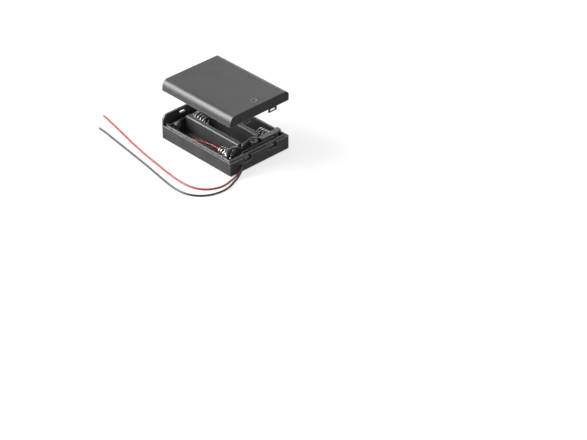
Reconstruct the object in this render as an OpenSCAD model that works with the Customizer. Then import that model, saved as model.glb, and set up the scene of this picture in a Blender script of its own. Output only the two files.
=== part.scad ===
// Holder for three round cells side by side, with a screwed cover, a slide switch
// in the underside and two leads. The cover is drawn lifted straight off the tray.
// Origin: centre of the tray's underside. +X points to the lead end, +Y to the
// switch side, +Z up. Millimetres.

/* [Cells] */
// Diameter of one cell
cell_d = 14.5; // [14.2:0.1:14.6]
// Length of one cell
cell_l = 50.5; // [49.5:0.25:51]
// Play across one bay
cell_play = 0.3; // [0.1:0.05:0.5]
// Length beside the cell that its contacts and pressed spring take
contact_room = 7.75; // [6.5:0.25:9]

/* [Tray] */
// Thickness of the long walls
wall_t = 2.45; // [2.2:0.05:3]
// Thickness of the floor
floor_t = 1.7; // [1.3:0.1:2.2]
// Height of the ledge that the cover stands on
ledge_z = 11.4; // [11:0.1:12.4]
// Width of the ledge
ledge_w = 1.35; // [1.1:0.05:1.5]
// Height of the rim above the ledge
rim_h = 1.05; // [0.6:0.05:1.6]
// Thickness of the tall end wall
tall_wall_t = 1.55; // [1.2:0.05:2]
// Width of the trough behind the tall end wall
trough_w = 2.4; // [2:0.1:3]
// Thickness of the wall at the bays' far end
bay_end_t = 1.25; // [1:0.05:2]
// Thickness of the walls between the bays
divider_t = 3.65; // [3:0.05:4.2]
// Height of the walls between the bays
divider_z = 15.1; // [13:0.1:15.6]
// Chamfer along the top of those walls
divider_chamfer = 0.5; // [0.2:0.1:0.8]
// Slot left for the contact plates at each end of those walls
plate_slot = 1.7; // [1:0.1:2.2]
// Thickness of the wall between the bays and the wiring space
partition_t = 1.25; // [1:0.05:1.8]
// Height of that wall at the middle of a bay
partition_z = 17.1; // [16.2:0.1:17.3]
// Radius of that wall's arched top over a bay
partition_r = 14.5; // [12:0.25:18]
// Length of the wiring space
wiring_l = 5.4; // [5.3:0.05:9]
// Distance that each arch stands off its bay's middle line
arch_off = 1.25; // [0:0.25:2]
// Width of the ledge at the lead end
end_ledge_w = 2.35; // [2.1:0.05:2.8]
// Thickness of the rim at the lead end
end_rim_t = 0.85; // [0.7:0.05:1.2]
// Diameter of the pegs in the trough's corners
peg_d = 2; // [1.6:0.1:2.2]
// Radius of the tray's upright corners
corner_r = 1.2; // [0.8:0.1:2.2]
// Radius of the tray's lower edges
foot_r = 2.1; // [0.8:0.1:2.2]

/* [Cover] */
// Height of the closed case
case_h = 19.5; // [19.2:0.1:21]
// Thickness of the cover
cover_t = 1.45; // [1.2:0.05:1.8]
// Radius along the cover's long edges
edge_r = 4.7; // [3:0.1:5.5]
// Draft of the cover's long sides in degrees
draft = 5; // [1:0.5:7]
// Radius of the cover's upper edge at the lead end
end_edge_r = 0.5; // [0.2:0.1:1]
// Clearance where the cover meets the tray
lid_gap = 0.1; // [0.05:0.05:0.2]
// Height that the cover is lifted by
lift = 29.6; // [0:0.1:40]

/* [Latches] */
// Distance of each latch loop from the middle
latch_y = 12.2; // [9:0.1:15]
// Width of a latch loop
latch_w = 7.7; // [6:0.1:9]
// Length of a latch loop below the cover
latch_drop = 3.1; // [2.4:0.1:3.6]
// Thickness of a latch loop
latch_t = 0.7; // [0.5:0.05:0.8]
// Width of the window in a latch loop
latch_window_w = 4.6; // [3:0.1:5.2]
// Height of the window in a latch loop
latch_window_h = 1.6; // [1:0.1:1.8]
// Depth of the tray's latch pockets
pocket_d = 2.2; // [1.2:0.05:2.3]
// Play around a latch loop in its pocket
pocket_play = 0.25; // [0.15:0.05:0.5]
// Distance of each tab slot from the middle
tab_y = 9.6; // [8:0.1:14]
// Width of a tab slot in the tall end wall
tab_slot_w = 5.1; // [3:0.1:6]
// Height of a tab slot
tab_slot_h = 2.1; // [1.4:0.1:2.2]
// Height of the lower edge of a tab slot
tab_slot_z = 15; // [14.8:0.1:15.8]
// Length of the cover's tabs
tab_l = 0.3; // [0.2:0.1:1]

/* [Cover screw] */
// Distance of the screw from the lead end
screw_in = 6.65; // [6.4:0.05:7]
// Diameter of the screw's head
screw_head_d = 4.2; // [3.4:0.1:4.4]
// Diameter of the screw's shank
screw_d = 2.2; // [1.8:0.1:2.5]
// Length of the screw
screw_l = 8; // [6:0.5:10]
// Clearance around the screw
screw_gap = 0.1; // [0.05:0.05:0.2]
// Diameter of the tray's screw post
post_d = 5.5; // [4.8:0.1:6]
// Height of the tray's screw post
post_z = 16.2; // [15:0.1:16.6]

/* [Contacts] */
// Thickness of the contact plates
plate_t = 0.4; // [0.3:0.05:0.5]
// Width of a contact plate in one bay
plate_w = 11.4; // [9.6:0.1:12.5]
// Width of a flat contact's plate
flat_w = 7.6; // [7:0.1:9]
// Height of the contact plates
plate_h = 10.8; // [10.2:0.1:11.2]
// Diameter of the dimple on a flat contact
dimple_d = 5.6; // [4:0.2:6.4]
// Height of the dimple
dimple_h = 1; // [0.6:0.1:1.3]
// Height of a dimple's middle above the cells' axis
dimple_up = 1; // [0:0.1:1.2]
// Diameter of a spring's wire
wire_d = 0.8; // [0.6:0.05:0.9]
// Outer diameter of a spring at its plate
spring_base_d = 9.4; // [8:0.1:10.5]
// Outer diameter of a spring at its tip
spring_tip_d = 6.6; // [5:0.2:7.6]
// Free length of a spring
spring_l = 10.4; // [8:0.1:11]
// Turns of a spring
spring_turns = 5; // [4:1:7]

/* [Switch] */
// Middle of the switch across the tray
switch_y = 16.1; // [13:0.1:16.9]
// Length of the window in the floor
switch_window_l = 8; // [7:0.1:9]
// Width of the window in the floor
switch_window_w = 3.6; // [3.2:0.1:4]
// Length of the slider's stem
stem_l = 2.8; // [2:0.1:3]
// Width of the slider's stem
stem_w = 3.2; // [2.4:0.1:3.2]
// Travel of the slider
switch_travel = 3; // [2:0.1:4]
// Height that the stem stands out of the underside
stem_out = 1.2; // [0.6:0.1:1.4]
// Outer width of the switch's steel frame
frame_w = 4.6; // [4.4:0.1:5]
// Height of the switch's steel frame
frame_h = 4; // [3.6:0.1:5]
// Thickness of its sheet
frame_t = 0.4; // [0.3:0.05:0.5]
// Length of the retaining bar over the switch
bar_l = 18.3; // [17:0.1:18.6]
// Width of the retaining bar
bar_w = 3.75; // [3:0.05:4.2]
// Height of the retaining bar's top
bar_z = 14.6; // [13:0.1:15]
// Thickness of the retaining bar
bar_t = 1.5; // [1:0.1:2]

/* [Leads] */
// Diameter of a lead
lead_d = 1.45; // [1.2:0.05:1.5]
// Diameter of a lead's tinned end
tip_d = 0.9; // [0.7:0.05:1.1]
// Length of a lead's tinned end
tip_l = 5; // [3:0.5:8]
// Width of the lead exit
exit_w = 2.3; // [1.9:0.1:3]
// Distance of the lead exit from the middle
exit_y = 19.1; // [17:0.1:20]
// Height of the lower lead in the exit
exit_low_z = 4.6; // [4:0.1:5]
// Height of the upper lead in the exit
exit_high_z = 6.4; // [6.2:0.1:6.6]

/* [Hidden] */
$fn = 48;

cell_count = 3;
bay_w = cell_d + cell_play;
pitch = bay_w + divider_t;
bay_l = cell_l + contact_room;
inner_w = cell_count * bay_w + (cell_count - 1) * divider_t;
case_w = inner_w + 2 * wall_t;
end_wall_t = end_ledge_w + end_rim_t;
case_l = tall_wall_t + trough_w + bay_end_t + bay_l + partition_t + wiring_l + end_wall_t;

// Stations along X, from the tall end wall to the lead end
x_end = -case_l / 2;
x_tall = x_end + tall_wall_t;
x_trough = x_tall + trough_w;
x_bay = x_trough + bay_end_t;
x_partition = x_bay + bay_l;
x_wiring = x_partition + partition_t;
x_wall = x_wiring + wiring_l;
x_lead = x_wall + end_wall_t;

// Middle line of each bay and height of the cells' axis
bay_y = [for (i = [0 : cell_count - 1]) (i - (cell_count - 1) / 2) * pitch];
axis_z = floor_t + bay_w / 2;
rim_z = ledge_z + rim_h;
through = 1;

// Rounded long edge of the cover: centre of its arc
edge_z = case_h - edge_r;
edge_y = case_w / 2 - edge_r * cos(draft)
    - (edge_z + edge_r * sin(draft) - ledge_z) * tan(draft);

lip_t = ledge_w - lid_gap;
x_cover = x_tall + lid_gap + tab_l;
x_screw = x_lead - screw_in;
x_loop = x_lead - lid_gap - latch_t;
plate_z = floor_t + 0.4;

// Slide switch: its frame stands on the floor, its terminal board closes the frame
fit = 0.05;
x_switch = x_wiring + 3 * fit + frame_w / 2;
block_l = 5.6;
block_gap = 0.15;
frame_l = block_l + switch_travel + 2 * block_gap + 2 * frame_t;
frame_z = floor_t + fit;
ear_l = 2;
board_t = 1;
board_z = frame_z + frame_h + fit;
terminal_pitch = switch_travel;
terminal_w = 1.2;
terminal_t = 0.4;
terminal_z = board_z + board_t + 1.3;
rest_y = switch_y + switch_travel / 2;
bar_y = inner_w / 2 - lid_gap - bar_l;
block_w = frame_w - 2 * frame_t - 2 * block_gap;
block_h = 1.9;
ridges = 5;
foot_w = 2;
foot_t = 0.35;

// Lugs of the contacts that pass through the partition
lug_z = board_z + board_t + 0.4;
lug_y = switch_y + terminal_pitch;
lug_w = 1.6;
strip_h = 3.6;
eye_y = bay_y[0] - 4.55;
eye_z = axis_z - 0.4;
eye_h = 6.2;
eye_lean = 4.5;
eye_d = 2.7;
eye_stem_w = 1;
fold_y = bay_y[1] - 4.3;
fold_z = axis_z + 0.9;
fold_w = 2.7;
fold_h = 3.2;
fold_lean = 0.9;

head_h = (screw_head_d - screw_d) / 2;
spring_steps = 14;
lead_floor = lead_d / 2;
notch_z = axis_z + 1;

function sideY(z, inset) = case_w / 2 - inset / cos(draft) - (z - ledge_z) * tan(draft);

// Outline of the closed case above the ledge, seen along X, inset evenly
module roof_outline(inset, z0) {
    r = edge_r - inset;
    foot = sideY(z0, inset);
    side = [edge_y + r * cos(draft), edge_z + r * sin(draft)];
    polygon([
        [-foot, z0], [foot, z0], side, [edge_y, edge_z + r],
        [-edge_y, edge_z + r], [-side[0], side[1]]
    ]);
    intersection() {
        for (s = [-1, 1]) translate([s * edge_y, edge_z]) circle(r);
        translate([-case_w, edge_z]) square([2 * case_w, case_h]);
    }
}

// Rectangle with rounded corners, from corner lo to corner hi
module rounded(lo, hi, r) {
    translate([lo[0] + r, lo[1]]) square([hi[0] - lo[0] - 2 * r, hi[1] - lo[1]]);
    translate([lo[0], lo[1] + r]) square([hi[0] - lo[0], hi[1] - lo[1] - 2 * r]);
    for (x = [lo[0] + r, hi[0] - r], y = [lo[1] + r, hi[1] - r])
        translate([x, y]) circle(r);
}

// Extrudes an outline drawn in (Y, Z) along X from x0 to x1
module along_x(x0, x1)
    translate([x0, 0, 0]) rotate([90, 0, 90]) linear_extrude(x1 - x0) children();

// Extrudes an outline drawn in (X, Z) along Y from y0 to y1
module along_y(y0, y1)
    translate([0, y1, 0]) rotate([90, 0, 0]) linear_extrude(y1 - y0) children();

module box(lo, hi) translate(lo) cube(hi - lo);

// ---- Tray ----

module tray_block() {
    intersection() {
        linear_extrude(ledge_z)
            rounded([x_end, -case_w / 2], [x_lead, case_w / 2], corner_r);
        along_x(x_end, x_lead)
            rounded([-case_w / 2, 0], [case_w / 2, ledge_z + 2 * foot_r], foot_r);
        along_y(-case_w / 2, case_w / 2)
            rounded([x_end, 0], [x_lead, ledge_z + 2 * foot_r], foot_r);
    }
    translate([0, 0, ledge_z - through]) linear_extrude(rim_h + through)
        rounded([x_trough - 0.2, -case_w / 2 + ledge_w],
                [x_lead - end_ledge_w, case_w / 2 - ledge_w], corner_r / 2);
}

module tall_wall() {
    intersection() {
        along_x(x_end, x_tall) {
            roof_outline(0, ledge_z);
            translate([-case_w / 2, foot_r]) square([case_w, ledge_z - foot_r]);
        }
        linear_extrude(case_h)
            rounded([x_end, -case_w / 2], [x_lead, case_w / 2], corner_r);
    }
}

module tray_hollow() {
    half = inner_w / 2;
    box([x_tall, -half, floor_t], [x_trough, half, case_h]);
    box([x_bay, -half, floor_t], [x_partition, half, case_h]);
    box([x_wiring, -half, floor_t], [x_wall, half, case_h]);
}

// Divider between two bays, with its upper edges chamfered
module divider(y) {
    h = divider_t / 2;
    c = divider_chamfer;
    along_x(x_bay + plate_slot, x_partition - plate_slot) translate([y, 0])
        polygon([
            [-h, floor_t - 0.2], [h, floor_t - 0.2], [h, divider_z - c],
            [h - c, divider_z], [c - h, divider_z], [-h, divider_z - c]
        ]);
}

// Arched top of the partition over the bays; the switch bar sits in the last one
module partition_arches() {
    half = inner_w / 2;
    for (i = [0 : cell_count - 1]) {
        top = i < cell_count - 1 ? partition_z : bar_z - bar_t;
        along_x(x_partition, x_wiring) intersection() {
            translate([bay_y[i] - arch_off, partition_z - partition_r])
                circle(partition_r, $fn = 96);
            translate([max(bay_y[i] - pitch / 2, -half), rim_z - rim_h])
                square([min(pitch, half - bay_y[i] + pitch / 2), top - rim_z + rim_h]);
        }
    }
}

module screw_post() {
    translate([x_screw, 0, floor_t - 0.2]) cylinder(d = post_d, h = post_z - floor_t + 0.2);
}

module corner_pegs() {
    inset = peg_d / 2 + 0.1;
    for (s = [-1, 1])
        translate([x_trough - inset, s * (inner_w / 2 - inset), floor_t - 0.2])
            cylinder(d = peg_d, h = rim_z + 0.5 - floor_t);
}

module latch_pocket(y) {
    w = latch_w + 2 * pocket_play;
    low = ledge_z - latch_drop - pocket_play - 0.6;
    box([x_lead - pocket_d, y - w / 2, low], [x_lead + through, y + w / 2, ledge_z]);
}

// Wedge that the loop's window lies over
module latch_catch(y) {
    out = x_loop - lid_gap;
    back = x_lead - pocket_d - 0.2;
    top = ledge_z - latch_drop + (latch_drop - latch_window_h) / 2 + latch_window_h - 0.3;
    along_y(y - latch_window_w / 2 + 0.4, y + latch_window_w / 2 - 0.4)
        polygon([
            [back, top], [out - 0.05, top - 0.7], [out - 0.05, top - 1.1], [back, top - 1.1]
        ]);
}

module lead_exit() {
    along_x(x_wall - through, x_lead + through) {
        for (z = [exit_low_z, exit_high_z]) translate([-exit_y, z]) circle(d = exit_w);
        translate([-exit_y - exit_w / 2, exit_low_z]) square([exit_w, exit_high_z - exit_low_z]);
    }
}

module base_tray() {
    color("#2b2b2c") difference() {
        union() {
            difference() {
                union() {
                    tray_block();
                    tall_wall();
                }
                tray_hollow();
            }
            for (i = [1 : cell_count - 1]) divider(bay_y[i] - pitch / 2);
            partition_arches();
            screw_post();
            corner_pegs();
        }
        for (s = [-1, 1]) {
            translate([0, s * tab_y, 0]) box(
                [x_end - through, -tab_slot_w / 2, tab_slot_z],
                [x_tall + through / 2, tab_slot_w / 2, tab_slot_z + tab_slot_h]);
            latch_pocket(s * latch_y);
        }
        translate([x_screw, 0, post_z - screw_l])
            cylinder(d = screw_d + 2 * screw_gap, h = screw_l + through);
        translate([x_switch - switch_window_w / 2, switch_y - switch_window_l / 2, -through])
            cube([switch_window_w, switch_window_l, floor_t + 2 * through]);
        lead_exit();
        lead_notch();
        lug_slot(lug_y, lug_w, lug_z);
        lug_slot(eye_y, eye_stem_w, eye_z);
        lug_slot(fold_y, fold_w, fold_z);
        bar_seat();
        translate([x_screw, 0, post_z]) cylinder(d = post_d + 4 * lid_gap, h = case_h);
    }
    color("#2b2b2c") for (s = [-1, 1]) latch_catch(s * latch_y);
}

// ---- Cover ----

module cover_shell() {
    intersection() {
        along_x(x_cover, x_lead) roof_outline(0, ledge_z);
        linear_extrude(case_h + through)
            rounded([x_end - 5, -case_w / 2], [x_lead, case_w / 2], corner_r);
        along_y(-case_w / 2, case_w / 2)
            rounded([x_end - 5, -5], [x_lead, case_h], end_edge_r);
    }
}

module cover_hollow() {
    along_x(x_cover - through, x_lead - cover_t) roof_outline(cover_t, ledge_z - through);
    // rebate over the tray's rim
    intersection() {
        along_x(x_cover - through, x_lead - lip_t) roof_outline(lip_t, ledge_z - through);
        box([x_cover - through, -case_w, 0], [x_lead, case_w, rim_z + lid_gap]);
    }
}

module latch_loop(y) {
    difference() {
        box([x_loop, y - latch_w / 2, ledge_z - latch_drop],
            [x_loop + latch_t, y + latch_w / 2, ledge_z + 0.5]);
        z0 = ledge_z - latch_drop + (latch_drop - latch_window_h) / 2;
        box([x_loop - through, y - latch_window_w / 2, z0],
            [x_lead + through, y + latch_window_w / 2, z0 + latch_window_h]);
    }
}

module cover_tab(y) {
    w = tab_slot_w - 0.6;
    h = tab_slot_h - 0.6;
    box([x_tall + lid_gap, y - w / 2, tab_slot_z + 0.3],
        [x_cover + 3, y + w / 2, tab_slot_z + 0.3 + h]);
    // web that carries the tab from the roof
    box([x_cover, y - w / 2, tab_slot_z + 0.3], [x_cover + 3, y + w / 2, case_h - cover_t + 0.3]);
}

module cover() {
    color("#3a3a3b") translate([0, 0, lift]) difference() {
        union() {
            difference() {
                cover_shell();
                cover_hollow();
            }
            for (s = [-1, 1]) {
                latch_loop(s * latch_y);
                cover_tab(s * tab_y);
            }
            translate([x_screw, 0, post_z + lid_gap])
                cylinder(d = post_d, h = case_h - cover_t + 0.3 - post_z - lid_gap);
        }
        translate([x_screw, 0, 0]) {
            cylinder(d = screw_d + 2 * screw_gap, h = case_h + through);
            translate([0, 0, case_h - head_h - screw_gap])
                cylinder(d1 = screw_d + 2 * screw_gap,
                         d2 = screw_head_d + 2 * screw_gap, h = head_h);
            translate([0, 0, case_h - screw_gap])
                cylinder(d = screw_head_d + 2 * screw_gap, h = screw_gap + through);
        }
    }
}

module cover_screw() {
    color("#77787a") translate([x_screw, 0, lift]) difference() {
        translate([0, 0, case_h - screw_gap]) rotate_extrude()
            polygon([
                [0, 0], [screw_head_d / 2, 0], [screw_d / 2, -head_h],
                [screw_d / 2, -screw_l + screw_d / 2], [0, -screw_l]
            ]);
        for (a = [0, 90]) rotate(a)
            translate([-screw_head_d * 0.3, -0.25, case_h - 1.1]) cube([screw_head_d * 0.6, 0.5, 2]);
    }
}

// ---- Cell contacts ----

// A tube of the given radius swept along points, closed at both ends
function unit(v) = v / norm(v);
function direction(p, i) =
    unit(p[min(i + 1, len(p) - 1)] - p[max(i - 1, 0)]);
function sideways(t, up) = unit(cross(t, up));

// up is a direction that the points never run along
module sweep(p, r, up, sides = 8) {
    n = len(p);
    ring = [for (i = [0 : n - 1])
        let (t = direction(p, i), u = sideways(t, up), v = cross(t, u))
        for (k = [0 : sides - 1])
            p[i] + r * (cos(360 * k / sides) * u + sin(360 * k / sides) * v)];
    skin = [for (i = [0 : n - 2], k = [0 : sides - 1])
        let (a = i * sides + k, b = i * sides + (k + 1) % sides)
        [a, a + sides, b + sides, b]];
    polyhedron(ring, concat(
        [[for (k = [0 : sides - 1]) k]], skin,
        [[for (k = [sides - 1 : -1 : 0]) (n - 1) * sides + k]]), convexity = 8);
}

// Centre line of a conical spring that starts flat on the plate, along +X
function spring_rise(u) =
    let (flat = 1 / spring_turns, rise = max(0, min(1, (u - flat * 0.75) / (1 - flat * 1.5))))
    wire_d / 2 + rise * (spring_l - wire_d);
function spring_line() = [
    for (i = [0 : spring_steps * spring_turns])
        let (u = i / (spring_steps * spring_turns),
             r = (spring_base_d * (1 - u) + spring_tip_d * u - wire_d) / 2,
             a = 360 * spring_turns * u)
        [spring_rise(u), r * cos(a), r * sin(a)]
];

module cell_spring(bay, toward_lead) {
    x = toward_lead ? x_partition - plate_t : x_bay + plate_t;
    color("#c9c9c6") translate([x, bay_y[bay], axis_z]) mirror([toward_lead ? 1 : 0, 0, 0])
        sweep(spring_line(), wire_d / 2, [1, 0, 0]);
}

module spring_1() cell_spring(0, true);
module spring_2() cell_spring(1, false);
module spring_3() cell_spring(2, true);

// Pads of the contact plates, one for each bay they serve, joined by a strip.
// The sheet lies against a bay's end wall. The pad in flat_bay is narrower, rounded
// below and pressed out into a dimple; the others carry a spring.
module contact_sheet(bays, toward_lead, flat_bay) {
    x = toward_lead ? x_partition - plate_t : x_bay;
    out = toward_lead ? -1 : 1;
    face = toward_lead ? x_partition - plate_t : x_bay + plate_t;
    top = plate_z + plate_h;
    dimple_z = axis_z + dimple_up;
    difference() {
        union() {
            along_x(x, x + plate_t) {
                for (b = bays) if (b == flat_bay) {
                    translate([bay_y[b], axis_z]) circle(d = flat_w);
                    translate([bay_y[b] - flat_w / 2, axis_z]) square([flat_w, top - axis_z]);
                } else rounded([bay_y[b] - plate_w / 2, plate_z], [bay_y[b] + plate_w / 2, top], 1.5);
                if (len(bays) > 1) translate([bay_y[bays[0]], axis_z - strip_h / 2])
                    square([bay_y[bays[1]] - bay_y[bays[0]], strip_h]);
            }
            if (flat_bay >= 0) translate([face, bay_y[flat_bay], dimple_z])
                rotate([0, 90 * out, 0])
                    cylinder(d1 = dimple_d, d2 = dimple_d * 0.55, h = dimple_h);
        }
        if (flat_bay >= 0) translate([face - out * plate_t, bay_y[flat_bay], dimple_z])
            rotate([0, 90 * out, 0])
                cylinder(d1 = dimple_d - 1, d2 = dimple_d * 0.55 - 1, h = dimple_h);
    }
}

// Lug on the link that leans over the wiring space and ends in an eye
module eye_lug() {
    x = x_wiring + 0.85;
    box([x_partition - plate_t, eye_y - eye_stem_w / 2, eye_z],
        [x + plate_t, eye_y + eye_stem_w / 2, eye_z + plate_t]);
    top = [eye_y + eye_lean, eye_z + eye_h];
    along_x(x, x + plate_t) difference() {
        union() {
            hull() {
                translate([eye_y - eye_stem_w / 2, eye_z]) square([eye_stem_w, plate_t]);
                translate(top - 0.62 * [eye_lean, eye_h]) circle(d = eye_stem_w);
            }
            hull() {
                translate(top - 0.55 * [eye_lean, eye_h]) circle(d = eye_stem_w);
                translate(top) circle(d = eye_d);
            }
        }
        hull() {
            translate(top - 0.3 * [eye_lean, eye_h]) circle(d = eye_d - 1.5);
            translate(top) circle(d = eye_d - 1.2);
        }
    }
}

// Lug on the link that is folded up behind the partition
module folded_lug() {
    x = x_wiring + 0.1;
    box([x_partition - plate_t, fold_y - fold_w / 2, fold_z],
        [x + plate_t, fold_y + fold_w / 2, fold_z + plate_t]);
    along_y(fold_y - fold_w / 2, fold_y + fold_w / 2)
        polygon([
            [x, fold_z], [x + plate_t * 1.4, fold_z],
            [x + fold_lean + plate_t, fold_z + fold_h], [x + fold_lean, fold_z + fold_h]
        ]);
}

module contact_plus() color("#d2d2d0") contact_sheet([0], false, 0);
module contact_link_12() color("#d2d2d0") {
    contact_sheet([0, 1], true, 1);
    eye_lug();
    folded_lug();
}
module contact_link_23() color("#d2d2d0") contact_sheet([1, 2], false, 2);

// The minus plate's lug passes through the partition to the switch's outer terminal
module contact_minus() color("#d2d2d0") {
    contact_sheet([2], true, -1);
    box([x_partition - plate_t, lug_y - lug_w / 2, lug_z],
        [x_switch - terminal_t / 2, lug_y + lug_w / 2, lug_z + plate_t]);
}

module lug_slot(y, w, z) {
    box([x_partition - through / 2, y - w / 2 - lid_gap, z - lid_gap],
        [x_wiring + through / 2, y + w / 2 + lid_gap, z + plate_t + lid_gap]);
}

// ---- Slide switch ----

module switch_frame() color("#b9bab8") difference() {
    union() {
        box([x_switch - frame_w / 2, switch_y - frame_l / 2, frame_z],
            [x_switch + frame_w / 2, switch_y + frame_l / 2, frame_z + frame_h]);
        box([x_switch - frame_w / 2, switch_y - frame_l / 2 - ear_l, frame_z],
            [x_switch + frame_w / 2, switch_y + frame_l / 2 + ear_l, frame_z + frame_t]);
    }
    box([x_switch - frame_w / 2 + frame_t, switch_y - frame_l / 2 + frame_t, frame_z + frame_t],
        [x_switch + frame_w / 2 - frame_t, switch_y + frame_l / 2 - frame_t, frame_z + frame_h + 1]);
    box([x_switch - switch_window_w / 2, switch_y - switch_window_l / 2, 0],
        [x_switch + switch_window_w / 2, switch_y + switch_window_l / 2, frame_z + 2 * frame_t]);
}

// Terminal board that closes the frame from above
module switch_board() color("#6b4a2c") difference() {
    box([x_switch - frame_w / 2, switch_y - frame_l / 2, board_z],
        [x_switch + frame_w / 2, switch_y + frame_l / 2, board_z + board_t]);
    for (k = [-1, 0, 1])
        translate([x_switch, switch_y + k * terminal_pitch, board_z + board_t / 2])
            cube([terminal_t + 2 * fit, terminal_w + 2 * fit, 2 * board_t],
                 center = true);
}

module switch_terminals() color("#d2d2d0") for (k = [-1, 0, 1])
    translate([x_switch, switch_y + k * terminal_pitch, 0]) {
        box([-terminal_t / 2, -terminal_w / 2, board_z - 0.5],
            [terminal_t / 2, terminal_w / 2, board_z + board_t + 2.2]);
        // foot under the board that the bridge slides along
        box([-foot_w / 2, -terminal_w / 2, board_z - foot_t - 0.4],
            [foot_w / 2, terminal_w / 2, board_z - 0.4]);
    }

// Slider: block inside the frame, stem through the window, grip ridges at its end
module switch_slider() {
    z0 = frame_z + frame_t + fit;
    color("#1d1d1e") translate([x_switch, rest_y, 0]) difference() {
        union() {
            box([-block_w / 2, -block_l / 2, z0], [block_w / 2, block_l / 2, z0 + block_h]);
            box([-stem_w / 2, -stem_l / 2, -stem_out], [stem_w / 2, stem_l / 2, z0 + 0.2]);
        }
        for (k = [1 : ridges - 1])
            translate([0, -stem_l / 2 + k * stem_l / ridges, -stem_out])
                rotate([45, 0, 0]) cube([stem_w + 1, 0.35, 0.35], center = true);
        // pocket that holds the bridge
        box([-block_w / 2 + 0.6, -1.9, z0 + 0.9], [block_w / 2 - 0.6, 1.9, z0 + block_h + 1]);
    }
}

// Springy bridge that joins two neighbouring terminals
module switch_bridge() {
    z0 = frame_z + frame_t + fit + 0.9 + fit;
    top = board_z - foot_t - 0.4 - fit;
    color("#c8a75a") translate([x_switch, rest_y, 0]) along_x(-0.9, 0.9) difference() {
        translate([-1.8, z0]) square([3.6, top - z0]);
        translate([-1.5, z0 + 0.3]) square([3.0, top - z0 - 0.6]);
        translate([-0.7, z0 + 0.3]) square([1.4, top - z0]);
    }
}

// Room for the bar on top of the partition
module bar_seat() {
    box([x_partition - through, bar_y - 2 * fit, bar_z - bar_t],
        [x_wiring + through, inner_w / 2, case_h]);
}

// Bar that holds the switch down, with a leg on each of the frame's ears
module switch_retainer() {
    x0 = x_partition + fit;
    color("#4a4a4b") {
        box([x0, bar_y, bar_z - bar_t + fit], [x0 + bar_w, bar_y + bar_l, bar_z]);
        // stop at the bar's end
        box([x0, bar_y + bar_l - 3.2, bar_z - 0.2], [x0 + bar_w, bar_y + bar_l, bar_z + 0.7]);
        for (s = [-1, 1]) {
            y = switch_y + s * (frame_l / 2 + ear_l / 2 + 0.2);
            box([x_wiring + 0.2, y - 0.7, frame_z + frame_t + fit],
                [x0 + bar_w, y + 0.7, bar_z - bar_t / 2]);
        }
    }
}

// ---- Leads ----

// Leads outside the tray, each from its exit to its bare end. X counts from the lead end.
red_lay = [
    [0, -exit_y, exit_low_z], [0.7, -exit_y, exit_low_z], [1.6, -20.4, 4], [1.8, -22, 2.8],
    [1.7, -23.8, 1.7], [1.9, -26, 0.8], [2.4, -28.5, lead_floor], [3.3, -32.2, lead_floor],
    [4.2, -36.6, lead_floor], [4.1, -41.4, lead_floor], [2.5, -46.4, lead_floor],
    [-0.5, -51, lead_floor], [-5.1, -54.5, lead_floor], [-10.9, -56.6, lead_floor],
    [-17.8, -57.4, lead_floor], [-26.5, -57.1, lead_floor], [-35.9, -56.1, lead_floor],
    [-47.3, -54.5, lead_floor], [-59.3, -52.7, lead_floor], [-71.2, -50.6, lead_floor],
    [-82.2, -48.4, lead_floor], [-92, -46.2, lead_floor], [-101.4, -44.1, lead_floor],
    [-109.7, -42.2, lead_floor], [-117, -40.7, lead_floor], [-122.2, -39.5, lead_floor],
    [-125.8, -39.1, lead_floor]
];
black_lay = [
    [0, -exit_y, exit_high_z], [0.9, -exit_y, exit_high_z], [2.3, -20, 5.7], [3.2, -21.4, 4.4],
    [3.6, -23.1, 2.8], [4, -25, 1.6], [4.6, -27.2, 0.8], [5.6, -30.2, lead_floor],
    [7.2, -33.9, lead_floor], [8.5, -38.5, lead_floor], [8.9, -43.3, lead_floor],
    [8.2, -48.9, lead_floor], [6.1, -54.7, lead_floor], [2.2, -59.9, lead_floor],
    [-3, -63.6, lead_floor], [-8.8, -65.5, lead_floor], [-15.5, -66, lead_floor],
    [-23.4, -65.4, lead_floor], [-32.1, -64.1, lead_floor], [-41.5, -62.5, lead_floor],
    [-51.5, -60.8, lead_floor], [-61.9, -59.3, lead_floor], [-74.4, -57.5, lead_floor],
    [-87.5, -55.7, lead_floor], [-98.3, -54.2, lead_floor], [-107.6, -52.9, lead_floor],
    [-114.4, -52.4, lead_floor]
];
red_route = [for (p = red_lay) [x_lead + p[0], p[1], p[2]]];
black_route = [for (p = black_lay) [x_lead + p[0], p[1], p[2]]];

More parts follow.
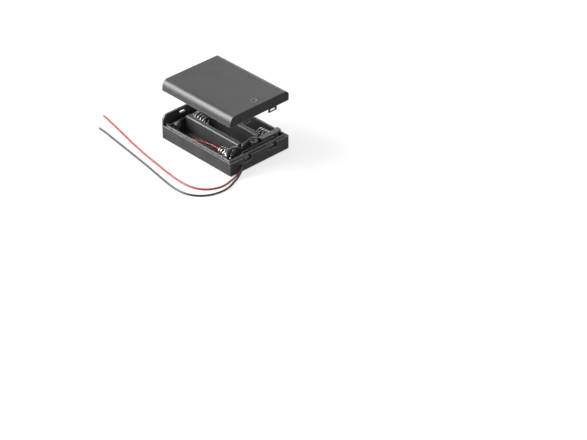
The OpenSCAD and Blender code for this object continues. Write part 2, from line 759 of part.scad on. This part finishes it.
// Red lead inside: soldered to the plus plate, along the first bay past its spring,
// up through the partition's notch and down to the exit
red_bay_lay = [
    [0.025, -4.65, 1.3], [0.055, -4.15, 1.2], [0.11, -2.35, 1.2], [0.188, 0.05, 1.4],
    [0.248, 1.55, 1.6], [0.303, 2.65, 1.8], [0.353, 3.85, 1.8], [0.411, 4.95, 1.8],
    [0.464, 5.85, 1.8], [0.523, 6.4, 1.8], [0.586, 6.5, 1.9], [0.66, 6.4, 1.8],
    [0.717, 5.65, 1.6], [0.78, 3.65, 1.1], [0.83, 1.25, 0.8], [0.88, -2.05, 0.8]
];
wall_y = -inner_w / 2 + lead_d / 2 + 0.05;
red_inner_route = concat(
    [[x_bay + plate_t, bay_y[0] - 4.65, floor_t + 1.3]],
    [for (p = red_bay_lay) [x_bay + p[0] * bay_l, bay_y[0] + p[1], floor_t + p[2]]],
    [
        [x_partition - 4.6, bay_y[0] - 4.75, floor_t + 1.5],
        [x_partition - 2.8, wall_y + 0.15, floor_t + 3.5], [x_partition - 2.1, wall_y, axis_z - 1.3],
        [x_partition - 1.5, wall_y, axis_z + 1.1], [x_partition + 0.4, wall_y, notch_z + lead_d],
        [x_wiring + 1.25, wall_y + 0.1, notch_z + 0.5], [x_wall - 2.35, wall_y + 0.9, axis_z - 1.2],
        [x_wall - 1.45, wall_y + 2.8, exit_low_z + 1.2], [x_wall - 0.85, -exit_y - 1.1, exit_low_z + 0.3],
        [x_wall - 0.2, -exit_y, exit_low_z], [x_lead, -exit_y, exit_low_z]
    ]);

// Black lead inside, from the switch's middle terminal along the end wall to the exit
over_z = rim_z + lead_d / 2 + 0.1;
black_inner_route = [
    [x_switch + terminal_t / 2, switch_y, terminal_z], [x_switch + 1.3, switch_y, terminal_z],
    [x_wall - 0.9, switch_y + 1.4, terminal_z + 1.1], [x_wall - 0.8, switch_y + 2.2, rim_z - 1.6],
    [x_wall - 0.8, switch_y + 1.5, rim_z + 0.3], [x_wall - 0.35, switch_y, over_z + 0.35],
    [x_wall + 0.25, switch_y - 2.6, over_z + 1], [x_wall + 0.2, switch_y - 5, over_z + 0.9],
    [x_wall + 0.15, switch_y - pitch / 2, over_z + 0.8], [x_wall + 0.15, 0.5, over_z + 0.95],
    [x_wall + 0.15, -pitch / 4, over_z + 1.2], [x_wall - 0.1, -pitch / 2 - 0.8, over_z + 0.6],
    [x_wall - 0.85, -exit_y + 6.4, rim_z + 0.7], [x_wall - 0.9, -exit_y + 4.8, rim_z - 0.4],
    [x_wall - 1.05, -exit_y + 2.8, rim_z - 1.9], [x_wall - 1.15, -exit_y + 1.1, rim_z - 3.6],
    [x_wall - 0.95, -exit_y + 0.2, exit_high_z + 1], [x_wall - 0.45, -exit_y, exit_high_z + 0.2],
    [x_wall + 0.15, -exit_y, exit_high_z], [x_lead, -exit_y, exit_high_z]
];

// Notch in the partition for the red lead
module lead_notch() {
    box([x_partition - through, -inner_w / 2, notch_z],
        [x_wiring + through, -inner_w / 2 + lead_d + 0.6, case_h]);
}

module lead(route, name, up = [0, 0, 1]) color(name) sweep(route, lead_d / 2, up);

// Solder around the leads' ends and over the minus plate's lug
solder_out = 1.1;
solder_h = 0.7;
bead_d = 1.8;
bead_h = 0.8;

module solder_cone(place, way, bore) {
    translate(place) rotate(way) difference() {
        cylinder(d1 = lead_d + solder_out, d2 = lead_d + 0.3, h = solder_h);
        if (bore) translate([0, 0, -through]) cylinder(d = lead_d + 0.02, h = 2 * lead_d);
    }
}

module solder_joints() color("#c9c9c6") {
    solder_cone(red_inner_route[0], [0, 90, 0], true);
    solder_cone(black_inner_route[0], [0, 90, 0], true);
    translate([x_switch - terminal_t / 2, lug_y, lug_z + plate_t]) rotate([0, -90, 0])
        intersection() {
            cylinder(d1 = bead_d, d2 = bead_d - bead_h, h = bead_h);
            translate([0, -bead_d, 0]) cube([bead_d, 2 * bead_d, bead_d]);
        }
}

module tip(route) {
    n = len(route);
    color("#c9c9c6") translate(route[n - 1])
        multmatrix(along(unit(route[n - 1] - route[n - 2]))) cylinder(d = tip_d, h = tip_l);
}

// Turns +Z to the direction t
function along(t) = let (u = sideways(t, [0, 0, 1]), v = cross(t, u))
    [[u[0], v[0], t[0], 0], [u[1], v[1], t[1], 0], [u[2], v[2], t[2], 0], [0, 0, 0, 1]];

module red_lead() lead(red_route, "#b5352c");
module black_lead() lead(black_route, "#222223");
module red_lead_tip() tip(red_route);
module black_lead_tip() tip(black_route);
module red_lead_inner() lead(red_inner_route, "#b5352c", [0.3, 1, 0.2]);
module black_lead_inner() lead(black_inner_route, "#222223");

base_tray();
cover();
cover_screw();
spring_1();
spring_2();
spring_3();
contact_plus();
contact_link_12();
contact_link_23();
contact_minus();
switch_frame();
switch_board();
switch_terminals();
switch_slider();
switch_bridge();
switch_retainer();
red_lead();
black_lead();
red_lead_tip();
black_lead_tip();
red_lead_inner();
black_lead_inner();
solder_joints();
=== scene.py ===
import bpy
import bmesh
import math
from mathutils import Matrix, Vector


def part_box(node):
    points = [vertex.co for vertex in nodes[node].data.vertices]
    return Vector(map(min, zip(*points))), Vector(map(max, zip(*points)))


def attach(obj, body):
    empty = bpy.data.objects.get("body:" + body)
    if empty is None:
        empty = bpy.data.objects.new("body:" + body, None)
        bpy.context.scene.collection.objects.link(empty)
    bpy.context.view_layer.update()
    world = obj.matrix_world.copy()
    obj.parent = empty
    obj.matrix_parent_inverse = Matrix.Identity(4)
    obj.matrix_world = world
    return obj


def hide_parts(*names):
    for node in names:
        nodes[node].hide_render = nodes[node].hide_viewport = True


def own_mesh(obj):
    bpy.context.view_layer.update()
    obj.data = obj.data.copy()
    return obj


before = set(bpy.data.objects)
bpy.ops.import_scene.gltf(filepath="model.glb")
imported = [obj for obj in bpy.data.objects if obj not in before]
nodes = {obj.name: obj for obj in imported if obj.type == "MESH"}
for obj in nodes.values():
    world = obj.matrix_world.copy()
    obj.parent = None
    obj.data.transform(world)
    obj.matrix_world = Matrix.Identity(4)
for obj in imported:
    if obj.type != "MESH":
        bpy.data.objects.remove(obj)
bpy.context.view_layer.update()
mm = 0.001
print("frame loaded:", len(nodes), "nodes")


def nodeBox(name):
    low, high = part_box(name)
    return Vector(low), Vector(high)


# Camera

cameraSetup = {
    "azimuth": 45.77,       # degrees round the case from its long side
    "elevation": 33.75,
    "roll": 0.37,
    "distance": 1497.6 * mm,
    "aim": Vector((55.52, 14.65, -45.62)) * mm,
    "lens": 127.94,
    "clip": (0.02, 20),       # metres
}


def makeCamera(setup):
    a, e = math.radians(setup["azimuth"]), math.radians(setup["elevation"])
    roll = math.radians(setup["roll"])
    back = Vector((math.sin(a) * math.cos(e), -math.cos(a) * math.cos(e), math.sin(e)))
    side = Vector((math.cos(a), math.sin(a), 0))
    up = back.cross(side)
    right = math.cos(roll) * side + math.sin(roll) * up
    top = math.cos(roll) * up - math.sin(roll) * side
    data = bpy.data.cameras.new("camera")
    data.lens = setup["lens"]
    data.clip_start, data.clip_end = setup["clip"]
    camera = bpy.data.objects.new("camera", data)
    bpy.context.scene.collection.objects.link(camera)
    place = Matrix((right, top, back)).transposed().to_4x4()
    place.translation = setup["aim"] + back * setup["distance"]
    camera.matrix_world = place
    bpy.context.scene.camera = camera


makeCamera(cameraSetup)
print("camera ready")


def linear(hexColour, alpha=1.0):
    parts = [int(hexColour[i:i + 2], 16) / 255 for i in (0, 2, 4)]
    return tuple(c / 12.92 if c <= 0.04045 else ((c + 0.055) / 1.055) ** 2.4 for c in parts) + (alpha,)


def addNode(tree, kind, settings=None, links=None):
    node = tree.nodes.new(kind)
    for key, value in (settings or {}).items():
        if key in node.inputs.keys():
            node.inputs[key].default_value = value
        else:
            setattr(node, key, value)
    for key, source in (links or {}).items():
        tree.links.new(source, node.inputs[key])
    return node


def toneRamp(tree, noise, first, last, ramp):
    tone = addNode(tree, "ShaderNodeValToRGB", {}, {"Fac": noise.outputs["Fac"]})
    for element, position, colour in zip(tone.color_ramp.elements, ramp, (first, last)):
        element.position = position
        element.color = linear(colour)
    return tone


def newMaterial(name):
    material = bpy.data.materials.new(name)
    material.use_nodes = True
    tree = material.node_tree
    surface = tree.nodes["Principled BSDF"]
    return material, tree, surface


# Injection-moulded ABS: the tool's spark-eroded skin gives a soft satin with a fine grain,
# slow changes of tone and gloss where the melt cooled unevenly, and outer edges painted paler as a
# highlight.
# The real grain is a few hundredths of a millimetre and is drawn coarser so that it shows
absFinish = {"colour": "2c2c2d", "pale": "343435", "roughness": 0.4, "grain": 0.3, "mottle": 9.0,
             "edge": 0.35, "edgeHighlight": "9e9ea0"}   # grain, mottle and edge in mm
mouldSkin = {"ramp": (0.3, 0.7), "gloss": (0.88, 1.14), "bump": 0.14, "depth": 0.02, "ior": 1.54,
             "turned": (0.995, 0.93),   # how far the rounded normal leans on an edge
             "open": (0.45, 0.7),       # outer edges only, not inner corners
             "reach": 1.2, "edgeSamples": 6, "openSamples": 4}


# Painted highlight: outer edges are painted a paler colour, standing in for the light they catch
def paintEdgeHighlight(tree, tone, edge, finish, skin=mouldSkin):
    shape = addNode(tree, "ShaderNodeNewGeometry")
    turned = addNode(tree, "ShaderNodeVectorMath", {"operation": "DOT_PRODUCT"},
                     {0: edge.outputs["Normal"], 1: shape.outputs["Normal"]})
    onEdge = addNode(tree, "ShaderNodeMapRange", {"From Min": skin["turned"][0],
                                                   "From Max": skin["turned"][1]},
                     {"Value": turned.outputs["Value"]})
    shelter = addNode(tree, "ShaderNodeAmbientOcclusion", {"samples": skin["openSamples"],
                                                              "Distance": skin["reach"] * mm})
    outer = addNode(tree, "ShaderNodeMapRange", {"From Min": skin["open"][0],
                                                  "From Max": skin["open"][1]},
                    {"Value": shelter.outputs["AO"]})
    highlightMask = addNode(tree, "ShaderNodeMath", {"operation": "MULTIPLY"},
                   {0: onEdge.outputs["Result"], 1: outer.outputs["Result"]})
    mixed = addNode(tree, "ShaderNodeMix", {"data_type": "RGBA", "B": linear(finish["edgeHighlight"])},
                    {"Factor": highlightMask.outputs[0], "A": tone})
    return mixed.outputs["Result"]


def mouldedPlastic(name, finish, skin=mouldSkin):
    material, tree, surface = newMaterial(name)
    place = addNode(tree, "ShaderNodeTexCoord")
    mottle = addNode(tree, "ShaderNodeTexNoise", {"Scale": 1 / (finish["mottle"] * mm), "Detail": 3.0},
                     {"Vector": place.outputs["Object"]})
    tone = toneRamp(tree, mottle, finish["colour"], finish["pale"], skin["ramp"])
    edge = addNode(tree, "ShaderNodeBevel", {"samples": skin["edgeSamples"], "Radius": finish["edge"] * mm})
    tree.links.new(paintEdgeHighlight(tree, tone.outputs["Color"], edge, finish), surface.inputs["Base Color"])
    rough = addNode(tree, "ShaderNodeMapRange", {"To Min": finish["roughness"] * skin["gloss"][0],
                                                 "To Max": finish["roughness"] * skin["gloss"][1]},
                    {"Value": mottle.outputs["Fac"]})
    tree.links.new(rough.outputs["Result"], surface.inputs["Roughness"])
    grain = addNode(tree, "ShaderNodeTexNoise", {"Scale": 1 / (finish["grain"] * mm), "Detail": 2.0},
                    {"Vector": place.outputs["Object"]})
    bump = addNode(tree, "ShaderNodeBump", {"Strength": skin["bump"], "Distance": skin["depth"] * mm},
                   {"Height": grain.outputs["Fac"], "Normal": edge.outputs["Normal"]})
    tree.links.new(bump.outputs["Normal"], surface.inputs["Normal"])
    surface.inputs["IOR"].default_value = skin["ior"]
    return material


# Plated or tinned metal: bright, with gloss that wanders over the rolled sheet or drawn wire
metalSkin = {"gloss": (0.7, 1.35), "bump": 0.12, "depth": 0.02}


def plainMetal(name, colour, roughness, scale, skin=metalSkin):
    material, tree, surface = newMaterial(name)
    place = addNode(tree, "ShaderNodeTexCoord")
    wear = addNode(tree, "ShaderNodeTexNoise", {"Scale": 1 / (scale * mm), "Detail": 4.0},
                   {"Vector": place.outputs["Object"]})
    rough = addNode(tree, "ShaderNodeMapRange", {"To Min": roughness * skin["gloss"][0],
                                                 "To Max": roughness * skin["gloss"][1]},
                    {"Value": wear.outputs["Fac"]})
    tree.links.new(rough.outputs["Result"], surface.inputs["Roughness"])
    bump = addNode(tree, "ShaderNodeBump", {"Strength": skin["bump"], "Distance": skin["depth"] * mm},
                   {"Height": wear.outputs["Fac"]})
    tree.links.new(bump.outputs["Normal"], surface.inputs["Normal"])
    surface.inputs["Base Color"].default_value = linear(colour)
    surface.inputs["Metallic"].default_value = 1.0
    return material


# Extruded PVC: smooth and slightly waxy, with faint changes of tone left by the drawing
pvcSkin = {"ramp": (0.3, 0.7), "gloss": (0.8, 1.25), "wander": 3.5, "ior": 1.53}   # wander in mm


def extrudedPvc(name, colour, dark, roughness, skin=pvcSkin):
    material, tree, surface = newMaterial(name)
    place = addNode(tree, "ShaderNodeTexCoord")
    draw = addNode(tree, "ShaderNodeTexNoise", {"Scale": 1 / (skin["wander"] * mm), "Detail": 3.0},
                   {"Vector": place.outputs["Object"]})
    tone = toneRamp(tree, draw, dark, colour, skin["ramp"])
    tree.links.new(tone.outputs["Color"], surface.inputs["Base Color"])
    rough = addNode(tree, "ShaderNodeMapRange", {"To Min": roughness * skin["gloss"][0],
                                                 "To Max": roughness * skin["gloss"][1]},
                    {"Value": draw.outputs["Fac"]})
    tree.links.new(rough.outputs["Result"], surface.inputs["Roughness"])
    surface.inputs["IOR"].default_value = skin["ior"]
    return material


coverAbs = mouldedPlastic("mouldedAbsCover", absFinish)
# The tray is the same ABS as the cover but painted a little paler: painted light that brightens its front
# side, which the cover's overhang shades
trayAbs = mouldedPlastic("mouldedAbsTray", absFinish | {"colour": "313132", "pale": "3a3a3b"})
# The retainer is moulded by itself and is painted a paler grey than the case: painted light standing in for
# the light its upward-facing top catches
barAbs = mouldedPlastic("mouldedAbsRetainer", {
    "colour": "5a5a5b", "pale": "666667", "roughness": 0.4, "grain": 0.25, "mottle": 4.0,
    "edge": 0.3, "edgeHighlight": "9e9ea0"})
# Moulded acetal of the switch knob: slicker than ABS, with sharper edges and a dimmer painted edge
# highlight
acetal = mouldedPlastic("mouldedAcetal", {
    "colour": "2a2a2b", "pale": "303031", "roughness": 0.32, "grain": 0.3, "mottle": 4.0,
    "edge": 0.15, "edgeHighlight": "5a5a5c"})
# Pressed phenolic paper: matt brown with a fibrous fleck and a thin painted edge highlight
laminate = mouldedPlastic("phenolicLaminate", {
    "colour": "5c3d22", "pale": "6e4a2b", "roughness": 0.5, "grain": 0.6, "mottle": 2.0,
    "edge": 0.05, "edgeHighlight": "8a6844"})
# Sheet shows broad soft glints, drawn wire narrow bright ones, solder nearly mirrors
nickel = plainMetal("nickelPlatedSteel", "e2dfd8", 0.36, 1.5)     # warm white plate
wireNickel = plainMetal("nickelPlatedWire", "cfccc6", 0.28, 0.7)  # springs
zinc = plainMetal("zincPlatedScrew", "77777a", 0.34, 0.8)         # darkened, bluish grey
tin = plainMetal("tinnedSteel", "c4c3bf", 0.32, 1.0)              # switch shell and lugs
copper = plainMetal("tinnedCopper", "d8d2c8", 0.26, 0.5)          # silvery, slightly warm
solder = plainMetal("solderedTin", "cfcfcc", 0.18, 0.6)           # smooth, wetted
bronze = plainMetal("phosphorBronze", "b98f4c", 0.3, 1.0)         # golden, rolled
redPvc = extrudedPvc("extrudedRedPvc", "9c3a33", "86302b", 0.34)
blackPvc = extrudedPvc("extrudedBlackPvc", "2b2b2c", "222223", 0.34)
print("materials ready")

nodeFinish = {
    "base_tray": trayAbs, "cover": coverAbs, "cover_screw": zinc, "contact_plus": nickel,
    "contact_link_12": nickel, "contact_link_23": nickel, "contact_minus": nickel,
    "switch_frame": tin, "switch_board": laminate, "switch_terminals": tin, "switch_slider": acetal,
    "switch_bridge": bronze, "switch_retainer": barAbs, "solder_joints": solder,
    "red_lead_inner": redPvc, "black_lead_inner": blackPvc,
}
for name, finish in nodeFinish.items():
    nodes[name].data.materials.clear()
    nodes[name].data.materials.append(finish)


def smoothLine(points, steps):
    line = []
    for i in range(len(points) - 1):
        a, b, c, d = (points[max(i - 1, 0)], points[i], points[i + 1], points[min(i + 2, len(points) - 1)])
        for k in range(steps):
            t = k / steps
            line.append(0.5 * ((2 * b) + (c - a) * t + (2 * a - 5 * b + 4 * c - d) * t * t
                               + (3 * b - a - 3 * c + d) * t ** 3))
    line.append(points[-1])
    return line


def addTube(mesh, line, radius, sides, up):
    rings = []
    for i, p in enumerate(line):
        way = (line[min(i + 1, len(line) - 1)] - line[max(i - 1, 0)]).normalized()
        u = way.cross(up).normalized()
        v = way.cross(u)
        rings.append([mesh.verts.new(p + radius * (math.cos(math.tau * k / sides) * u
                                                   + math.sin(math.tau * k / sides) * v))
                      for k in range(sides)])
    for a, b in zip(rings, rings[1:]):
        for k in range(sides):
            mesh.faces.new((a[k], b[k], b[(k + 1) % sides], a[(k + 1) % sides]))
    mesh.faces.new(rings[0])
    mesh.faces.new(rings[-1][::-1])


def meshObject(name, mesh, material):
    data = bpy.data.meshes.new(name)
    bmesh.ops.recalc_face_normals(mesh, faces=mesh.faces)
    mesh.to_mesh(data)
    mesh.free()
    data.shade_smooth()
    data.materials.append(material)
    piece = bpy.data.objects.new(name, data)
    bpy.context.scene.collection.objects.link(piece)
    return piece


# Cell springs

springSetup = {
    "wire": 0.8, "base": 9.4, "tip": 7.4, "turns": 5,   # mm, and turns
    "pitch": 18.45, "axisHeight": 9.1,                  # between bays, and above the underside
    "travel": 6.0, "steps": 44, "sides": 10,
}


# Conical coil that starts flat on its plate and narrows towards the cell
def springLine(base, way, length, setup):
    wire, turns = setup["wire"], setup["turns"]
    count = setup["steps"] * turns
    flat = 1 / turns
    line = []
    for i in range(count + 1):
        u = i / count
        rise = max(0, min(1, (u - flat * 0.75) / (1 - flat * 1.5)))
        r = (setup["base"] * (1 - u) + setup["tip"] * u - wire) / 2
        a = math.tau * turns * u
        line.append((base + Vector((way * (wire / 2 + rise * (length - wire)),
                                    r * math.cos(a), r * math.sin(a)))) * mm)
    return line


for number, way, body in ((1, -1, "spring_a"), (2, 1, "spring_b"), (3, -1, "spring_c")):
    node = f"spring_{number}"
    low, high = nodeBox(node)
    baseX, tipX = (low.x, high.x) if way > 0 else (high.x, low.x)
    length = (high.x - low.x) / mm
    base = Vector((baseX / mm, (number - 2) * springSetup["pitch"], springSetup["axisHeight"]))
    mesh = bmesh.new()
    addTube(mesh, springLine(base, way, length, springSetup), springSetup["wire"] / 2 * mm,
            springSetup["sides"], Vector((1, 0, 0)))
    coil = meshObject(f"coil_{number}", mesh, wireNickel)
    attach(coil, body)
    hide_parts(node)
    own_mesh(coil)
print("springs wound")


# Free leads

leadSetup = {
    "diameter": 1.45, "smooth": 6, "roundness": 5,   # mm, then steps between points and round it
    "redRoute": [
        (36.65, -19.1, 4.58), (37.35, -19.1, 4.58), (38.25, -20.4, 3.95), (38.45, -22, 2.81),
        (38.35, -23.8, 1.66), (38.55, -26, 0.83), (39.05, -28.5, 0.72), (39.95, -32.2, 0.72),
        (40.85, -36.6, 0.72), (40.75, -41.4, 0.72), (39.15, -46.4, 0.72), (36.15, -51, 0.72),
        (31.55, -54.5, 0.72), (25.75, -56.6, 0.72), (18.85, -57.4, 0.72), (10.15, -57.1, 0.72),
        (0.75, -56.1, 0.72), (-10.65, -54.5, 0.72), (-22.65, -52.7, 0.72), (-34.55, -50.6, 0.72),
        (-45.55, -48.4, 0.72), (-55.35, -46.2, 0.72), (-64.75, -44.1, 0.72), (-73.05, -42.2, 0.72),
        (-80.35, -40.7, 0.72), (-85.55, -39.5, 0.72), (-89.15, -39.1, 0.72)],
    "blackRoute": [
        (36.65, -19.1, 6.45), (37.55, -19.1, 6.45), (38.95, -20, 5.72), (39.85, -21.4, 4.37),
        (40.25, -23.1, 2.81), (40.65, -25, 1.56), (41.25, -27.2, 0.83), (42.25, -30.2, 0.72),
        (43.85, -33.9, 0.72), (45.15, -38.5, 0.72), (45.55, -43.3, 0.72), (44.85, -48.9, 0.72),
        (42.75, -54.7, 0.72), (38.85, -59.9, 0.72), (33.65, -63.6, 0.72), (27.85, -65.5, 0.72),
        (21.15, -66, 0.72), (13.25, -65.4, 0.72), (4.55, -64.1, 0.72), (-4.85, -62.5, 0.72),
        (-14.85, -60.8, 0.72), (-25.25, -59.3, 0.72), (-37.75, -57.5, 0.72), (-50.85, -55.7, 0.72),
        (-61.65, -54.2, 0.72), (-70.95, -52.9, 0.72), (-77.75, -52.4, 0.72)],
}


def freeLead(name, route, material):
    points = smoothLine([Vector(p) * mm for p in route], leadSetup["smooth"])
    data = bpy.data.curves.new(name, "CURVE")
    data.dimensions = "3D"
    data.bevel_depth = leadSetup["diameter"] / 2 * mm
    data.bevel_resolution = leadSetup["roundness"]
    data.use_fill_caps = True
    spline = data.splines.new("POLY")
    spline.points.add(len(points) - 1)
    for point, place in zip(spline.points, points):
        point.co = (*place, 1)
    data.materials.append(material)
    piece = bpy.data.objects.new(name, data)
    bpy.context.scene.collection.objects.link(piece)
    length = sum((b - a).length for a, b in zip(points, points[1:]))
    return piece, length


# Bare end of a lead: fine wires twisted round one another and dipped in tin
strandSetup = {"length": 5.0, "diameter": 0.9, "sunk": 0.3,   # mm, sunk being inside the insulation
               "outer": 6, "turns": 1.6, "steps": 30, "sides": 8}


def strandMesh(name, end, way, material, setup=strandSetup):
    u = way.cross(Vector((0, 0, 1))).normalized()
    v = way.cross(u)
    wire = setup["diameter"] / 6   # radius of each, three lying across the whole
    mesh = bmesh.new()
    for k in range(setup["outer"] + 1):
        r = 0 if k == setup["outer"] else 2 * wire
        line = []
        for i in range(setup["steps"] + 1):
            t = i / setup["steps"]
            a = math.tau * (k / setup["outer"] + setup["turns"] * t)
            line.append(end + (way * (setup["length"] * t - setup["sunk"] * (1 - t))
                               + r * (math.cos(a) * u + math.sin(a) * v)) * mm)
        addTube(mesh, line, wire * mm, setup["sides"], v)
    return meshObject(name, mesh, material)


for colour, material in (("red", redPvc), ("black", blackPvc)):
    route = leadSetup[colour + "Route"]
    piece, length = freeLead(colour + "_lead_free", route, material)
    end = Vector(route[-1]) * mm
    way = (Vector(route[-1]) - Vector(route[-2])).normalized()
    strands = strandMesh(colour + "_strands", end, way, copper)
    for part, node in ((piece, colour + "_lead"), (strands, colour + "_lead_tip")):
        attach(part, "tray")
        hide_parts(node)
    print(colour, "lead:", round(length / mm, 1), "mm")
print("leads laid")


# Screw thread

threadSetup = {"diameter": 2.14, "pitch": 0.8, "depth": 0.09, "start": 1.6, "length": 5.2,   # mm
               "steps": 36, "sides": 6}


def threadMesh(name, centre, top, material, setup=threadSetup):
    count = int(setup["steps"] * setup["length"] / setup["pitch"])
    r = setup["diameter"] / 2
    mesh = bmesh.new()
    line = []
    for i in range(count + 1):
        a = math.tau * i / setup["steps"]
        fade = min(1, i / setup["steps"], (count - i) / setup["steps"])
        reach = r - setup["depth"] * (1 - fade)
        line.append(Vector((centre.x + reach * mm * math.cos(a), centre.y + reach * mm * math.sin(a),
                            top - (setup["start"] + setup["pitch"] * i / setup["steps"]) * mm)))
    addTube(mesh, line, setup["depth"] * mm, setup["sides"], Vector((0, 0, 1)))
    return meshObject(name, mesh, material)


low, high = nodeBox("cover_screw")
thread = threadMesh("screw_thread", (low + high) / 2, high.z, zinc)
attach(thread, "screw")
print("thread cut")


# Raised words by the switch

wordSetup = {
    "height": 2.5, "raised": 0.18, "gap": 1.5,   # mm, the gap being from the window to the letters
    "windowWidth": 3.6, "dash": (2.6, 0.28), "spread": 4.6, "dashShift": 0.25, "softEdge": 0.06,
    "sizeToCapital": 1.38, "fatten": 0.02, "curve": 3,
}


def raisedWord(name, text, x, y, setup=wordSetup):
    data = bpy.data.curves.new(name, "FONT")
    data.body = text
    data.size = setup["height"] * setup["sizeToCapital"] * mm
    data.align_x, data.align_y = "CENTER", "BOTTOM_BASELINE"
    data.extrude = setup["raised"] * mm
    data.offset = setup["fatten"] * mm
    data.resolution_u = setup["curve"]
    data.materials.append(trayAbs)
    word = bpy.data.objects.new(name, data)
    bpy.context.scene.collection.objects.link(word)
    # faces down, reads towards +Y, with the tops of the letters towards the window
    word.matrix_world = Matrix(((0, 1, 0, x), (1, 0, 0, y), (0, 0, -1, 0), (0, 0, 0, 1)))
    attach(word, "tray")
    return word


low, high = nodeBox("switch_frame")
windowX, windowY = (low.x + high.x) / 2, (low.y + high.y) / 2
baseline = windowX - (wordSetup["windowWidth"] / 2 + wordSetup["gap"] + wordSetup["height"]) * mm
for text, side in (("OFF", -1), ("ON", 1)):
    raisedWord("word_" + text, text, baseline, windowY + side * wordSetup["spread"] * mm)
dashLong, dashWide = wordSetup["dash"]
mesh = bmesh.new()
bmesh.ops.create_cube(mesh, size=1, matrix=Matrix.Diagonal((dashWide * mm, dashLong * mm,
                                                            2 * wordSetup["raised"] * mm, 1)))
bmesh.ops.bevel(mesh, geom=mesh.edges[:], offset=wordSetup["softEdge"] * mm, segments=2, affect="EDGES")
dash = meshObject("word_dash", mesh, trayAbs)
dash.location = (baseline + wordSetup["height"] / 2 * mm, windowY + wordSetup["dashShift"] * mm, 0)
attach(dash, "tray")
print("words raised")


# Floor and light

studioSetup = {
    "glow": 0.72, "glowBelow": 0.24, "horizon": (-0.15, 0.1),   # of the room round the object
    "floor": "f7f7f7", "floorRoughness": 0.9, "floorWhite": 0.95, "floorWhiteShare": 0.72,
    "floorHalf": 6, "gap": 0.03, "aim": (0, 0, 0.02),           # metres, mm, metres
    "lamps": (                     # name, direction from the object, distance m, size m, watts
        ("key", (-0.60, -0.60, 0.55), 1.3, 0.85, 31.0),
        ("front", (-0.45, -0.89, 0.06), 1.2, 0.7, 12.0),
        ("back", (-0.60, 0.78, 0.20), 1.3, 0.3, 1.4),
        ("rim", (0.48, 0.62, 0.62), 1.3, 0.35, 3.0)),
}


def studio(setup):
    scene = bpy.context.scene
    scene.view_settings.view_transform = "Standard"
    world = bpy.data.worlds.new("studio")
    scene.world = world
    world.use_nodes = True
    tree = world.node_tree
    tree.nodes.clear()
    path = addNode(tree, "ShaderNodeLightPath")
    seen = addNode(tree, "ShaderNodeBackground", {"Color": (1, 1, 1, 1), "Strength": 1.0})
    place = addNode(tree, "ShaderNodeTexCoord")
    height = addNode(tree, "ShaderNodeSeparateXYZ", {}, {"Vector": place.outputs["Generated"]})
    level = addNode(tree, "ShaderNodeMapRange", {"From Min": setup["horizon"][0],
                                                 "From Max": setup["horizon"][1],
                                                 "To Min": setup["glowBelow"], "To Max": setup["glow"]},
                    {"Value": height.outputs["Z"]})
    glow = addNode(tree, "ShaderNodeBackground", {"Color": (1, 1, 1, 1)},
                   {"Strength": level.outputs["Result"]})
    mixed = addNode(tree, "ShaderNodeMixShader", {}, {0: path.outputs["Is Camera Ray"],
                                                      1: glow.outputs[0], 2: seen.outputs[0]})
    addNode(tree, "ShaderNodeOutputWorld", {}, {"Surface": mixed.outputs[0]})

    # The floor shows only from above and catches soft shadows; light passes through it, so the
    # underside with its switch is lit too
    material, tree, surface = newMaterial("paleFloor")
    surface.inputs["Base Color"].default_value = linear(setup["floor"])
    surface.inputs["Roughness"].default_value = setup["floorRoughness"]
    surface.inputs["Specular IOR Level"].default_value = 0.0
    white = addNode(tree, "ShaderNodeEmission", {"Color": (1, 1, 1, 1),
                                                   "Strength": setup["floorWhite"]})
    lit = addNode(tree, "ShaderNodeMixShader", {"Fac": setup["floorWhiteShare"]},
                  {1: surface.outputs[0], 2: white.outputs[0]})
    clear = addNode(tree, "ShaderNodeBsdfTransparent")
    path = addNode(tree, "ShaderNodeLightPath")
    facing = addNode(tree, "ShaderNodeNewGeometry")
    above = addNode(tree, "ShaderNodeMath", {"operation": "SUBTRACT", "use_clamp": True},
                    {0: path.outputs["Is Camera Ray"], 1: facing.outputs["Backfacing"]})
    shown = addNode(tree, "ShaderNodeMixShader", {}, {0: above.outputs[0], 1: clear.outputs[0],
                                                      2: lit.outputs[0]})
    tree.links.new(shown.outputs[0], tree.nodes["Material Output"].inputs["Surface"])
    mesh = bmesh.new()
    bmesh.ops.create_grid(mesh, x_segments=1, y_segments=1, size=setup["floorHalf"])
    floor = meshObject("floor", mesh, material)
    floor.location = (0, 0, -setup["gap"] * mm)

    aim = Vector(setup["aim"])
    for name, way, distance, size, power in setup["lamps"]:
        data = bpy.data.lights.new(name, "AREA")
        data.size = size
        data.energy = power
        lamp = bpy.data.objects.new(name, data)
        scene.collection.objects.link(lamp)
        lamp.location = aim + Vector(way).normalized() * distance
        lamp.rotation_mode = "QUATERNION"
        lamp.rotation_quaternion = (aim - lamp.location).to_track_quat("-Z", "Y")


studio(studioSetup)
print("studio ready")
